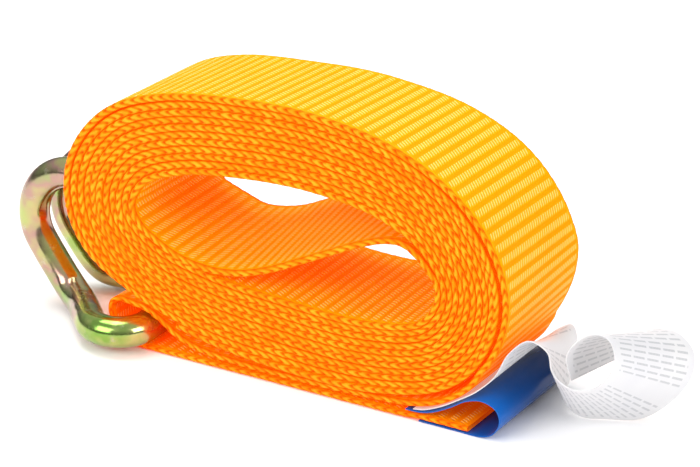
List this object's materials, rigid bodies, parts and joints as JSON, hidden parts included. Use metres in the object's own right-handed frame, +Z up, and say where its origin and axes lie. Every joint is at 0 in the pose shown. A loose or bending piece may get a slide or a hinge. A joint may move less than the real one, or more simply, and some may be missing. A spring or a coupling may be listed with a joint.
{
  "type": "ratchet tie down",
  "caption": "Rolled-up hook end of a ratchet tie-down: webbing wound in an oblong coil, a double claw hook on its sewn loop, and two labels.",
  "frame": {"origin": "middle of the webbing's width on the flat underside of the sewn tail, below the middle of the coil", "axes": "+X along the coil away from the hook, +Y across the webbing, +Z up"},
  "size_m": [0.2472, 0.0782, 0.0989],
  "materials": {
    "webbing": "ribbed woven polyester",
    "thread": "twisted polyester",
    "hook": "yellow chromated zinc",
    "blue_film": "glossy film",
    "white_film": "satin printed film"
  },
  "bodies": {
    "strap": {"webbing_coil": "webbing", "webbing_hook_loop": "webbing", "loop_seam_thread": "thread", "blue_label": "blue_film", "white_label": "white_film"},
    "hook": {"claw_hook": "hook"}
  },
  "joints": [
    {"name": "hook_swing", "type": "hinge", "parent": "strap", "child": "hook", "pos_m": [-0.054, 0, 0.0079], "axis": [0, -1, 0], "range_deg": [0, 130]}
  ]
}
